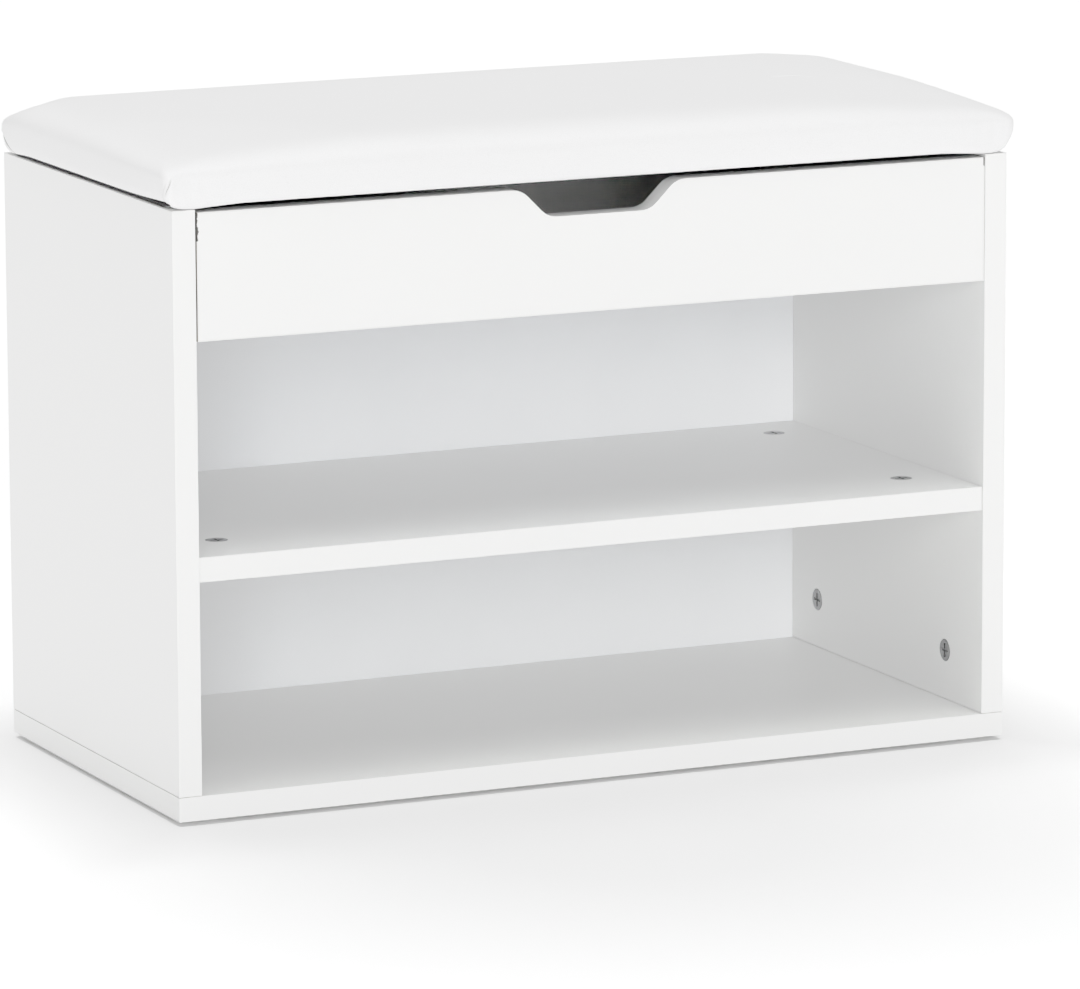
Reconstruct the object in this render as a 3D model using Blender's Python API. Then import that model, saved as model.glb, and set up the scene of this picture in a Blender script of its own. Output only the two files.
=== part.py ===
"""Entryway bench: a white shoe bench with two open bays and a hinged padded seat over a storage box.

Metres, +Z up. X runs along the bench's width, its open front faces -Y, and the origin is on the floor
under its middle. Boards, cam fittings and hinges follow flat-pack practice: 16 mm faced boards, cam
centres 34 mm in from each joint, and thin panels held in grooves.
"""

import math

import bmesh
import bpy
from mathutils import Matrix, Vector

# Carcass
WIDTH = 0.600
DEPTH = 0.300
BOARD = 0.016
FOOT = 0.003
BAY_HEIGHT = 0.140
SIDE_TOP = 0.4005
APRON_TOP = 0.3984
GAP = 0.0003
FRONT_PANEL_RECESS = 0.001
FRONT_PANEL_LEFT_GAP = 0.0011
SHELF_RECESS = 0.0015

# Thin panels in grooves
SHEET = 0.003
GROOVE = 0.005
BACK_FRONT_FACE = 0.1346
BACK_TOP = 0.3205
FLOOR_RISE = 0.010

# Finger notch in the front panel
NOTCH_MID_HALF = 0.0463
NOTCH_DEPTH = 0.0191
NOTCH_RADIUS = 0.016
NOTCH_SLOPE = math.radians(45)

# Cam fittings
CAM_RADIUS = 0.0075
CAM_DEPTH = 0.0125
CAM_SETBACK = 0.034
CAM_SLOT_LENGTH = 0.0095
CAM_SLOT_WIDTH = 0.0017
CAM_SLOT_DEPTH = 0.0016
CAM_Y = 0.096
CAM_PORT_PAST_MIDDLE = 0.0035
BOLT_THREAD_RADIUS = 0.003
BOLT_THREAD_LENGTH = 0.009
BOLT_TIP = 0.002
BOLT_COLLAR = 0.001
BOLT_TAPER = 0.001
BOLT_NECK_LENGTH = 0.005
BOLT_SHANK_RADIUS = 0.0028
BOLT_NECK_RADIUS = 0.0018
BOLT_HEAD_RADIUS = 0.0034
BOLT_HEAD_LENGTH = 0.003
BORE_RADIUS = 0.004

# Dowels, glides and bumpers
DOWEL_RADIUS = 0.004
DOWEL_Y = 0.045
DOWEL_DOWN = 0.010
DOWEL_UP = 0.018
GLIDE_RADIUS = 0.011
GLIDE_INSET = 0.022
GLIDE_PEG_RADIUS = 0.0025
GLIDE_PEG = 0.008
BUMPER_RADIUS = 0.004
BUMPER_Y = -0.130

# Seat lid
LID_UNDERSIDE = 0.4024
SEAT_TOP = 0.440
SEAT_BULGE = 0.008
SEAT_WIDEST = 0.419
SEAT_ROLL = 0.034
SEAT_CROWN = 0.0016
SEAT_CORNER = 0.024
SEAT_CORNER_TIGHTENING = 0.3
SEAT_CROWN_MID = 0.050
SEAT_CROWN_EDGE = 0.090
COVER = 0.0008
COVER_HEM = 0.034
SEAT_BOARD = 0.012
SEAT_BOARD_INSET = 0.005
SEAT_BOARD_CORNER = 0.012

# Butt hinges
HINGE_X = 0.200
LEAF_WIDTH = 0.060
LEAF_REACH = 0.034
LEAF_THICKNESS = 0.001
KNUCKLES = 5
KNUCKLE_GAP = 0.0004
LEAF_SINK = 0.0001
BARREL_RADIUS = 0.00265
PIN_RADIUS = 0.0015
PIN_BORE_RADIUS = 0.00165
PIN_HEAD = 0.0006
SCREW_REACH = 0.026
SCREW_SPREAD = 0.018
SCREW_RADIUS = 0.0017
SCREW_LENGTH = 0.011
SCREW_HEAD_RADIUS = 0.0033
SCREW_HEAD = 0.0018
RECESS_LENGTH = 0.003
RECESS_WIDTH = 0.0008
RECESS_DEPTH = 0.0008

# Where those sizes put things
HALF_WIDTH = WIDTH / 2
HALF_DEPTH = DEPTH / 2
INNER_X = HALF_WIDTH - BOARD
SIDE_MID_X = HALF_WIDTH - BOARD / 2
BOTTOM_TOP = FOOT + BOARD
SHELF_BOTTOM = BOTTOM_TOP + BAY_HEIGHT
SHELF_TOP = SHELF_BOTTOM + BOARD
APRON_BOTTOM = SHELF_TOP + BAY_HEIGHT + GAP
APRON_MID = (APRON_BOTTOM + APRON_TOP) / 2
FLOOR_BOTTOM = APRON_BOTTOM + FLOOR_RISE
FRONT_PANEL_FACE = -HALF_DEPTH + FRONT_PANEL_RECESS
FRONT_PANEL_BACK = FRONT_PANEL_FACE + BOARD
RAIL_FRONT = HALF_DEPTH - BOARD
AXIS = Vector((0, HALF_DEPTH + GAP + BARREL_RADIUS, LID_UNDERSIDE - GAP - BARREL_RADIUS))
SEAT_HALF_X = HALF_WIDTH + SEAT_BULGE
SEAT_HALF_Y = AXIS.y + BARREL_RADIUS
SEAT_BOARD_BOTTOM = LID_UNDERSIDE + COVER + GAP
SEAT_BOARD_TOP = SEAT_BOARD_BOTTOM + SEAT_BOARD

PAST = 0.001
COARSE, ROUND, FINE = 10, 12, 20
X, Y, Z = Vector((1, 0, 0)), Vector((0, 1, 0)), Vector((0, 0, 1))
SIDES = (("left", -1), ("right", 1))
ENDS = (("front", -1), ("rear", 1))


# ---- Meshes ------------------------------------------------------------------------------------

def loft(rings):
    """A closed solid through rings of points with equal counts, with a flat face at each end."""
    shape = bmesh.new()
    loops = [[shape.verts.new(point) for point in ring] for ring in rings]
    for near, far in zip(loops, loops[1:]):
        for i in range(len(near)):
            shape.faces.new((near[i - 1], near[i], far[i], far[i - 1]))
    shape.faces.new(loops[0][::-1])
    shape.faces.new(loops[-1])
    bmesh.ops.recalc_face_normals(shape, faces=shape.faces)
    mesh = bpy.data.meshes.new("shape")
    shape.to_mesh(mesh)
    shape.free()
    return mesh


def circle(radius, z, segments):
    turns = [2 * math.pi * i / segments for i in range(segments)]
    return [(radius * math.cos(turn), radius * math.sin(turn), z) for turn in turns]


def turned(profile, segments):
    """A solid of revolution about local Z, from its (radius, z) outline. It is shaded smooth."""
    mesh = loft([circle(radius, z, segments) for radius, z in profile])
    mesh.shade_smooth()
    mesh.set_sharp_from_angle(angle=math.radians(35))
    return mesh


def cylinder(radius, bottom, top, segments):
    return turned([(radius, bottom), (radius, top)], segments)


def cuboid(size):
    half = [value / 2 for value in size]
    corners = [(-half[0], -half[1]), (half[0], -half[1]), (half[0], half[1]), (-half[0], half[1])]
    return loft([[(x, y, z) for x, y in corners] for z in (-half[2], half[2])])


def rounded_rectangle(half_x, half_y, radius, z, steps=5):
    """The points of a rounded rectangle at height z, with its corners as arcs."""
    points = []
    for corner, (sx, sy) in enumerate(((1, 1), (-1, 1), (-1, -1), (1, -1))):
        centre_x, centre_y = sx * (half_x - radius), sy * (half_y - radius)
        for step in range(steps + 1):
            turn = math.pi / 2 * (corner + step / steps)
            points.append((centre_x + radius * math.cos(turn), centre_y + radius * math.sin(turn), z))
    return points


# ---- Objects -----------------------------------------------------------------------------------

def turn_to(out, along=None):
    """The rotation that takes local Z to out and, where along is given, local X to along."""
    if along is None:
        return out.to_track_quat("Z", "Y")
    return Matrix((along, out.cross(along), out)).transposed().to_quaternion()


def put(name, mesh, location, turn=None, parent=None):
    """Adds an object at a place in the bench's frame, riding on parent where one is given."""
    item = bpy.data.objects.new(name, mesh)
    bpy.context.scene.collection.objects.link(item)
    item.parent = parent
    item.location = Vector(location) - (parent.location if parent else Vector())
    if turn:
        item.rotation_mode = "QUATERNION"
        item.rotation_quaternion = turn
    return item


def piece(name, mesh, material, location=(0, 0, 0), turn=None, parent=None):
    if not mesh.materials:
        mesh.materials.append(material)
    return put(name, mesh, location, turn, parent)


def slab(name, low, high, material, parent=None):
    """A box between two corners, with its origin at its centre."""
    low, high = Vector(low), Vector(high)
    return piece(name, cuboid(high - low), material, (low + high) / 2, parent=parent)


def cutter(mesh, location, turn=None, parent=None):
    tool = put("cutter", mesh, location, turn, parent)
    tool.hide_render = True
    tool.display_type = "WIRE"
    return tool


def box_cutter(low, high, parent=None):
    low, high = Vector(low), Vector(high)
    return cutter(cuboid(high - low), (low + high) / 2, parent=parent)


def drill(start, direction, depth, radius, segments=ROUND, parent=None):
    """A cutter for a round hole from a face at start, running in for depth along direction."""
    return cutter(cylinder(radius, -PAST, depth, segments), start, turn_to(direction), parent)


def combine(item, tools, operation):
    """Cuts the tools out of an object, or joins them to it."""
    group = bpy.data.collections.new(item.name + "_tools")
    bpy.context.scene.collection.children.link(group)
    for tool in tools:
        bpy.context.scene.collection.objects.unlink(tool)
        group.objects.link(tool)
    modifier = item.modifiers.new(operation.lower(), "BOOLEAN")
    modifier.operation = operation
    modifier.operand_type = "COLLECTION"
    modifier.collection = group


def finished_mesh(item):
    """The object's mesh with its modifiers applied, for copies to share. The object and its tools go."""
    graph = bpy.context.evaluated_depsgraph_get()
    mesh = bpy.data.meshes.new_from_object(item.evaluated_get(graph))
    groups = [modifier.collection for modifier in item.modifiers]
    for tool in [tool for group in groups for tool in group.objects] + [item]:
        bpy.data.objects.remove(tool)
    for group in groups:
        bpy.data.collections.remove(group)
    return mesh


# ---- Materials ---------------------------------------------------------------------------------

def material(name, colour, roughness, metallic=0.0):
    finish = bpy.data.materials.new(name)
    finish.use_nodes = True
    shader = finish.node_tree.nodes["Principled BSDF"]
    shader.inputs["Base Color"].default_value = (*colour, 1.0)
    shader.inputs["Roughness"].default_value = roughness
    shader.inputs["Metallic"].default_value = metallic
    return finish


def make_materials():
    return {
        "melamine": material("white_melamine", (0.83, 0.83, 0.82), 0.42),
        "hardboard": material("white_hardboard", (0.82, 0.83, 0.84), 0.5),
        "leatherette": material("white_leatherette", (0.84, 0.84, 0.84), 0.48),
        "foam": material("foam", (0.86, 0.82, 0.62), 0.9),
        "fibreboard": material("fibreboard", (0.45, 0.33, 0.21), 0.8),
        "nonwoven": material("nonwoven_cloth", (0.04, 0.04, 0.045), 0.9),
        "zinc": material("zinc_casting", (0.56, 0.57, 0.58), 0.38, 1.0),
        "steel": material("zinc_plated_steel", (0.62, 0.62, 0.6), 0.3, 1.0),
        "plastic": material("white_plastic", (0.78, 0.78, 0.77), 0.45),
        "bumper": material("clear_bumper", (0.7, 0.72, 0.72), 0.35),
        "beech": material("beech", (0.62, 0.44, 0.26), 0.7),
    }


# ---- Carcass boards ----------------------------------------------------------------------------

def notch_side():
    """One side of the finger notch, from its rim down to its flat: two equal arcs and a straight slope."""
    slope_drop = NOTCH_DEPTH - 2 * NOTCH_RADIUS * (1 - math.cos(NOTCH_SLOPE))
    half_run = NOTCH_RADIUS * math.sin(NOTCH_SLOPE) + slope_drop / math.tan(NOTCH_SLOPE) / 2
    steps = 5
    turns = [NOTCH_SLOPE * step / steps for step in range(steps + 1)]
    arc = [(NOTCH_RADIUS * math.sin(turn), NOTCH_RADIUS * (1 - math.cos(turn))) for turn in turns]
    shoulder = [(NOTCH_MID_HALF + half_run - run, APRON_TOP - drop) for run, drop in arc]
    hollow = [(NOTCH_MID_HALF - half_run + run, APRON_TOP - NOTCH_DEPTH + rise) for run, rise in arc]
    return shoulder + hollow[::-1]


def make_front_panel(materials):
    left, right = -INNER_X + FRONT_PANEL_LEFT_GAP, INNER_X - GAP
    side = notch_side()
    outline = [(left, APRON_BOTTOM), (right, APRON_BOTTOM), (right, APRON_TOP)]
    outline += side + [(-x, z) for x, z in reversed(side)] + [(left, APRON_TOP)]
    centre = Vector((0, FRONT_PANEL_FACE + BOARD / 2, APRON_MID))
    rings = [[(x, y, z - APRON_MID) for x, z in outline] for y in (-BOARD / 2, BOARD / 2)]
    return piece("front_panel", loft(rings), materials["melamine"], centre)


def make_boards(materials):
    """The boards and thin panels, by name."""
    melamine, hardboard = materials["melamine"], materials["hardboard"]
    sheet_x = INNER_X + GROOVE - GAP
    boards = [
        slab("bottom_panel", (-HALF_WIDTH, -HALF_DEPTH, FOOT), (HALF_WIDTH, HALF_DEPTH, BOTTOM_TOP), melamine),
        slab("middle_shelf", (-INNER_X + GAP, -HALF_DEPTH + SHELF_RECESS, SHELF_BOTTOM),
             (INNER_X - GAP, BACK_FRONT_FACE - GAP, SHELF_TOP), melamine),
        slab("rear_rail", (-INNER_X + GAP, RAIL_FRONT, APRON_BOTTOM),
             (INNER_X - GAP, HALF_DEPTH, APRON_TOP), melamine),
        slab("back_panel", (-sheet_x, BACK_FRONT_FACE, BOTTOM_TOP - GROOVE + GAP),
             (sheet_x, BACK_FRONT_FACE + SHEET, BACK_TOP), hardboard),
        slab("compartment_floor", (-sheet_x, FRONT_PANEL_BACK - GROOVE + GAP, FLOOR_BOTTOM),
             (sheet_x, RAIL_FRONT + GROOVE - GAP, FLOOR_BOTTOM + SHEET), hardboard),
        make_front_panel(materials),
    ]
    for side, sign in SIDES:
        xs = sorted((sign * INNER_X, sign * HALF_WIDTH))
        boards.append(slab(side + "_side_panel", (xs[0], -HALF_DEPTH, BOTTOM_TOP + GAP),
                           (xs[1], HALF_DEPTH, SIDE_TOP), melamine))
    return {board.name: board for board in boards}


def groove_cuts():
    """(board name, cutter) for each groove and rebate that holds a thin panel."""
    back = (BACK_FRONT_FACE - GAP, BACK_FRONT_FACE + SHEET + GAP)
    floor = (FLOOR_BOTTOM - GAP, FLOOR_BOTTOM + SHEET + GAP)
    reach = INNER_X + GROOVE
    yield "bottom_panel", box_cutter((-reach, back[0], BOTTOM_TOP - GROOVE),
                                     (reach, back[1], BOTTOM_TOP + PAST))
    yield "rear_rail", box_cutter((-reach, RAIL_FRONT - PAST, APRON_BOTTOM - PAST),
                                  (reach, back[1], BACK_TOP + GAP))
    yield "rear_rail", box_cutter((-reach, RAIL_FRONT - PAST, floor[0]),
                                  (reach, RAIL_FRONT + GROOVE, floor[1]))
    yield "front_panel", box_cutter((-reach, FRONT_PANEL_BACK - GROOVE, floor[0]),
                                    (reach, FRONT_PANEL_BACK + PAST, floor[1]))
    for side, sign in SIDES:
        xs = sorted((sign * (INNER_X - PAST), sign * reach))
        yield side + "_side_panel", box_cutter((xs[0], back[0], 0), (xs[1], back[1], BACK_TOP + GAP))
        yield side + "_side_panel", box_cutter((xs[0], FRONT_PANEL_BACK - GROOVE, floor[0]),
                                               (xs[1], RAIL_FRONT + GROOVE, floor[1]))


# ---- Cam fittings ------------------------------------------------------------------------------

def cam_fittings():
    """Each fitting: name, board its bolt screws into, board its cam is in, where the bolt crosses
    the joint, the bolt's direction, and the way the cam faces."""
    for side, sign in SIDES:
        wall = side + "_side_panel"
        inward = -sign * X
        for end, rear in ENDS:
            at_wall = Vector((sign * SIDE_MID_X, rear * CAM_Y, BOTTOM_TOP))
            at_shelf = Vector((sign * INNER_X, rear * CAM_Y, SHELF_TOP - BOARD / 2))
            yield f"bottom_{side}_{end}", "bottom_panel", wall, at_wall, Z, inward
            yield f"shelf_{side}_{end}", wall, "middle_shelf", at_shelf, inward, Z
        at_front = Vector((sign * INNER_X, FRONT_PANEL_FACE + BOARD / 2, APRON_MID))
        at_rail = Vector((sign * INNER_X, RAIL_FRONT + BOARD / 2, APRON_MID))
        yield f"front_{side}", wall, "front_panel", at_front, inward, Y
        yield f"rail_{side}", wall, "rear_rail", at_rail, inward, -Y


def cam_mesh(zinc):
    """A cam: its face at local z 0 with a cross slot, and a side port towards -X for the bolt's head."""
    cam = piece("cam", cylinder(CAM_RADIUS, -CAM_DEPTH, 0, FINE), zinc)
    slots = [(CAM_SLOT_LENGTH, CAM_SLOT_WIDTH), (CAM_SLOT_WIDTH, CAM_SLOT_LENGTH)]
    tools = [cutter(cuboid((dx, dy, 2 * CAM_SLOT_DEPTH)), (0, 0, 0)) for dx, dy in slots]
    port_start = Vector((-CAM_RADIUS, 0, -BOARD / 2))
    tools.append(drill(port_start, X, CAM_RADIUS + CAM_PORT_PAST_MIDDLE, BORE_RADIUS, COARSE))
    combine(cam, tools, "DIFFERENCE")
    return finished_mesh(cam)


def bolt_mesh():
    """A connecting bolt along local Z: thread below 0, collar, shank, then neck and head in the cam."""
    neck_end = CAM_SETBACK - BOLT_TAPER
    neck_start = neck_end - BOLT_NECK_LENGTH
    return turned([
        (BOLT_THREAD_RADIUS * 0.6, -BOLT_THREAD_LENGTH),
        (BOLT_THREAD_RADIUS, -BOLT_THREAD_LENGTH + BOLT_TIP),
        (BOLT_THREAD_RADIUS, BOLT_COLLAR),
        (BOLT_SHANK_RADIUS, BOLT_COLLAR * 1.5),
        (BOLT_SHANK_RADIUS, neck_start - BOLT_TAPER),
        (BOLT_NECK_RADIUS, neck_start),
        (BOLT_NECK_RADIUS, neck_end),
        (BOLT_HEAD_RADIUS, neck_end + BOLT_TAPER * 0.8),
        (BOLT_HEAD_RADIUS * 0.8, neck_end + BOLT_HEAD_LENGTH),
    ], COARSE)


def make_cam_fittings(materials, cuts):
    cam, bolt = cam_mesh(materials["zinc"]), bolt_mesh()
    for name, bolted, cammed, joint, along, out in cam_fittings():
        face = joint + along * CAM_SETBACK + out * BOARD / 2
        piece("cam_" + name, cam, materials["zinc"], face, turn_to(out, along))
        piece("bolt_" + name, bolt, materials["steel"], joint, turn_to(along))
        cuts[bolted].append(drill(joint, -along, BOLT_THREAD_LENGTH + GAP, BOLT_THREAD_RADIUS + GAP, COARSE))
        cuts[cammed].append(drill(joint, along, CAM_SETBACK, BORE_RADIUS, COARSE))
        cuts[cammed].append(drill(face, -out, CAM_DEPTH + GAP, CAM_RADIUS + GAP, FINE))


# ---- Dowels, glides and bumpers ----------------------------------------------------------------

def make_dowels(materials, cuts):
    chamfer = 0.001
    rod = turned([(DOWEL_RADIUS - chamfer, -DOWEL_DOWN), (DOWEL_RADIUS, -DOWEL_DOWN + chamfer),
                  (DOWEL_RADIUS, DOWEL_UP - chamfer), (DOWEL_RADIUS - chamfer, DOWEL_UP)], ROUND)
    for side, sign in SIDES:
        for end, rear in ENDS:
            joint = Vector((sign * SIDE_MID_X, rear * DOWEL_Y, BOTTOM_TOP))
            piece(f"dowel_{side}_{end}", rod, materials["beech"], joint)
            cuts["bottom_panel"].append(drill(joint, -Z, DOWEL_DOWN + GAP, DOWEL_RADIUS + GAP))
            cuts[side + "_side_panel"].append(drill(joint, Z, DOWEL_UP + GAP, DOWEL_RADIUS + GAP))


def make_glides(materials, cuts):
    rim = 0.0012
    glide = turned([(GLIDE_RADIUS - rim, 0), (GLIDE_RADIUS, rim), (GLIDE_RADIUS, FOOT - GAP),
                    (GLIDE_PEG_RADIUS, FOOT - GAP), (GLIDE_PEG_RADIUS, FOOT + GLIDE_PEG)], FINE)
    for side, sign in SIDES:
        for end, rear in ENDS:
            spot = Vector((sign * (HALF_WIDTH - GLIDE_INSET), rear * (HALF_DEPTH - GLIDE_INSET), 0))
            piece(f"glide_{side}_{end}", glide, materials["plastic"], spot)
            cuts["bottom_panel"].append(drill(spot + Z * FOOT, Z, GLIDE_PEG + GAP, GLIDE_PEG_RADIUS + GAP))


def make_bumpers(materials):
    low, high = SIDE_TOP + GAP, LID_UNDERSIDE - GAP
    rise = high - low
    pad = turned([(BUMPER_RADIUS, 0), (BUMPER_RADIUS, rise / 2), (BUMPER_RADIUS * 0.8, rise)], FINE)
    for side, sign in SIDES:
        piece("bumper_" + side, pad, materials["bumper"], (sign * SIDE_MID_X, BUMPER_Y, low))


# ---- Seat lid ----------------------------------------------------------------------------------

def seat_ring(inset, z):
    """The seat's outline at height z, drawn in from its widest line by inset."""
    corner = max(SEAT_CORNER - inset * SEAT_CORNER_TIGHTENING, SEAT_CORNER / 3)
    return rounded_rectangle(SEAT_HALF_X - inset, SEAT_HALF_Y - inset, corner, z - AXIS.z)


def seat_rings(skin, lowest):
    """Rings up the seat from the height lowest, all a skin's thickness inside its outer surface."""
    under = SEAT_WIDEST - LID_UNDERSIDE - skin
    over = SEAT_TOP - SEAT_CROWN - SEAT_WIDEST - skin
    side_steps, roll_steps = 4, 5
    rings = []
    for step in range(side_steps):
        z = lowest + (SEAT_WIDEST - lowest) * step / side_steps
        rings.append(seat_ring(skin + SEAT_BULGE * (1 - math.sqrt(1 - ((SEAT_WIDEST - z) / under) ** 2)), z))
    for step in range(roll_steps + 1):
        turn = math.pi / 2 * step / roll_steps
        rings.append(seat_ring(skin + SEAT_ROLL * (1 - math.cos(turn)), SEAT_WIDEST + over * math.sin(turn)))
    rings.append(seat_ring(SEAT_ROLL + SEAT_CROWN_MID, SEAT_TOP - skin - SEAT_CROWN / 4))
    rings.append(seat_ring(SEAT_ROLL + SEAT_CROWN_EDGE, SEAT_TOP - skin))
    return rings


def seat_cover_mesh():
    """The leatherette cover: one skin over the top and sides, folded under to a hem."""
    inside = seat_rings(COVER, LID_UNDERSIDE + COVER)
    outside = seat_rings(0, LID_UNDERSIDE)
    hem = [seat_ring(SEAT_BULGE + COVER_HEM, z) for z in (LID_UNDERSIDE + COVER, LID_UNDERSIDE)]
    return loft(inside[::-1] + hem + outside)


def seat_board_mesh():
    half_x, half_y = HALF_WIDTH - SEAT_BOARD_INSET, HALF_DEPTH - SEAT_BOARD_INSET
    levels = [z - AXIS.z for z in (SEAT_BOARD_BOTTOM, SEAT_BOARD_TOP)]
    return loft([rounded_rectangle(half_x, half_y, SEAT_BOARD_CORNER, z) for z in levels])


def dust_cover_mesh():
    inset = SEAT_BULGE + COVER_HEM + GAP
    return loft([seat_ring(inset, z) for z in (LID_UNDERSIDE, LID_UNDERSIDE + COVER)])


def make_lid(materials, axle):
    """The padded seat, by piece. The axle empty on the hinge's axis carries it."""
    shapes = {
        "seat_board": (seat_board_mesh(), "fibreboard"),
        "seat_foam": (loft(seat_rings(COVER + GAP, SEAT_BOARD_TOP + GAP)), "foam"),
        "seat_cover": (seat_cover_mesh(), "leatherette"),
        "dust_cover": (dust_cover_mesh(), "nonwoven"),
    }
    return {name: piece(name, mesh, materials[kind], (0, 0, AXIS.z), parent=axle)
            for name, (mesh, kind) in shapes.items()}


# ---- Hinges ------------------------------------------------------------------------------------

def leaf_mesh(own, steel):
    """A hinge leaf hanging along -Z from its pin on local X: a comb plate, its own knuckles and two holes."""
    pitch = LEAF_WIDTH / KNUCKLES
    clear = BARREL_RADIUS + KNUCKLE_GAP
    outline = [(-LEAF_WIDTH / 2, -LEAF_REACH), (LEAF_WIDTH / 2, -LEAF_REACH)]
    barrels = []
    for knuckle in reversed(range(KNUCKLES)):
        start = -LEAF_WIDTH / 2 + knuckle * pitch
        low, high = start + KNUCKLE_GAP / 2, start + pitch - KNUCKLE_GAP / 2
        if knuckle in own:
            outline += [(high, -clear), (high, 0), (low, 0), (low, -clear)]
            barrels.append(cutter(cylinder(BARREL_RADIUS, low, high, FINE), (0, 0, 0), turn_to(X)))
    outline = [point for i, point in enumerate(outline) if point != outline[i - 1]]
    outline.insert(2, (LEAF_WIDTH / 2, -clear))
    outline.append((-LEAF_WIDTH / 2, -clear))
    back = -BARREL_RADIUS + LEAF_SINK
    leaf = piece("leaf", loft([[(x, y, z) for x, z in outline] for y in (back, back + LEAF_THICKNESS)]), steel)
    combine(leaf, barrels, "UNION")
    bores = [drill(Vector((-LEAF_WIDTH / 2, 0, 0)), X, LEAF_WIDTH + PAST, PIN_BORE_RADIUS)]
    for sign in (-1, 1):
        start = Vector((sign * SCREW_SPREAD, back - PAST, -SCREW_REACH))
        bores.append(drill(start, Y, LEAF_THICKNESS + 2 * PAST, SCREW_RADIUS + GAP))
    combine(leaf, bores, "DIFFERENCE")
    return finished_mesh(leaf)


def screw_mesh(steel):
    """A pan-head screw: its head's bearing face at local z 0 and its tip along +Z, with a cross recess."""
    mesh = turned([(SCREW_HEAD_RADIUS * 0.6, -SCREW_HEAD), (SCREW_HEAD_RADIUS * 0.93, -SCREW_HEAD * 0.6),
                   (SCREW_HEAD_RADIUS, 0), (SCREW_RADIUS, 0), (SCREW_RADIUS, SCREW_LENGTH * 0.75),
                   (SCREW_RADIUS * 0.25, SCREW_LENGTH)], ROUND)
    screw = piece("screw", mesh, steel)
    arms = ((RECESS_LENGTH, RECESS_WIDTH), (RECESS_WIDTH, RECESS_LENGTH))
    recess = [cutter(cuboid((dx, dy, 2 * RECESS_DEPTH)), (0, 0, -SCREW_HEAD)) for dx, dy in arms]
    combine(screw, recess, "DIFFERENCE")
    return finished_mesh(screw)


def pin_mesh():
    """A hinge pin along local Z, with a low head past each end of the barrel."""
    end = LEAF_WIDTH / 2
    half = [(PIN_RADIUS, end), (BARREL_RADIUS * 0.85, end + GAP), (BARREL_RADIUS * 0.6, end + GAP + PIN_HEAD)]
    return turned([(radius, -z) for radius, z in reversed(half)] + half, ROUND)


def make_hinges(materials, axle, cuts):
    steel = materials["steel"]
    frame_leaf, lid_leaf = leaf_mesh((0, 2, 4), steel), leaf_mesh((1, 3), steel)
    screw, pin = screw_mesh(steel), pin_mesh()
    lid_turn = Matrix.Rotation(-math.pi / 2, 3, "X").to_quaternion()
    for side, sign in SIDES:
        centre = AXIS + X * sign * HINGE_X
        piece(f"hinge_frame_leaf_{side}", frame_leaf, steel, centre)
        piece(f"hinge_lid_leaf_{side}", lid_leaf, steel, centre, lid_turn, axle)
        piece(f"hinge_pin_{side}", pin, steel, centre, turn_to(X))
        for place, shift in (("outer", sign * SCREW_SPREAD), ("inner", -sign * SCREW_SPREAD)):
            spot = centre + X * shift
            leaf_face = BARREL_RADIUS - LEAF_SINK - LEAF_THICKNESS - GAP
            rail_screw = spot + Vector((0, -leaf_face, -SCREW_REACH))
            lid_screw = spot + Vector((0, -SCREW_REACH, leaf_face))
            piece(f"rail_screw_{side}_{place}", screw, steel, rail_screw, turn_to(-Y))
            piece(f"lid_screw_{side}_{place}", screw, steel, lid_screw, turn_to(Z), axle)
            hole = SCREW_LENGTH + GAP
            cuts["rear_rail"].append(drill(rail_screw, -Y, hole, SCREW_RADIUS + GAP))
            for layer in ("seat_board", "seat_cover"):
                cuts[layer].append(drill(lid_screw, Z, hole, SCREW_RADIUS + GAP, parent=axle))


def clear_scene():
    for item in list(bpy.data.objects):
        bpy.data.objects.remove(item)


def main():
    clear_scene()
    materials = make_materials()
    axle = put("lid_axle", None, AXIS)
    solids = make_boards(materials) | make_lid(materials, axle)
    cuts = {name: [] for name in solids}
    for name, tool in groove_cuts():
        cuts[name].append(tool)
    make_cam_fittings(materials, cuts)
    make_dowels(materials, cuts)
    make_glides(materials, cuts)
    make_bumpers(materials)
    make_hinges(materials, axle, cuts)
    for name, tools in cuts.items():
        if tools:
            combine(solids[name], tools, "DIFFERENCE")


main()
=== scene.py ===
"""Entryway bench: the looks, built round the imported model.

Boards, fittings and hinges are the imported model's own nodes, with finer edges and node materials. The padded
seat is a new piece: a pad that is inflated by a cloth simulation and then gets its corner pleats and hem.
Lengths are in metres.
"""

import math

import bmesh
import bpy
import numpy as np
from mathutils import Matrix, Vector


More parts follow.
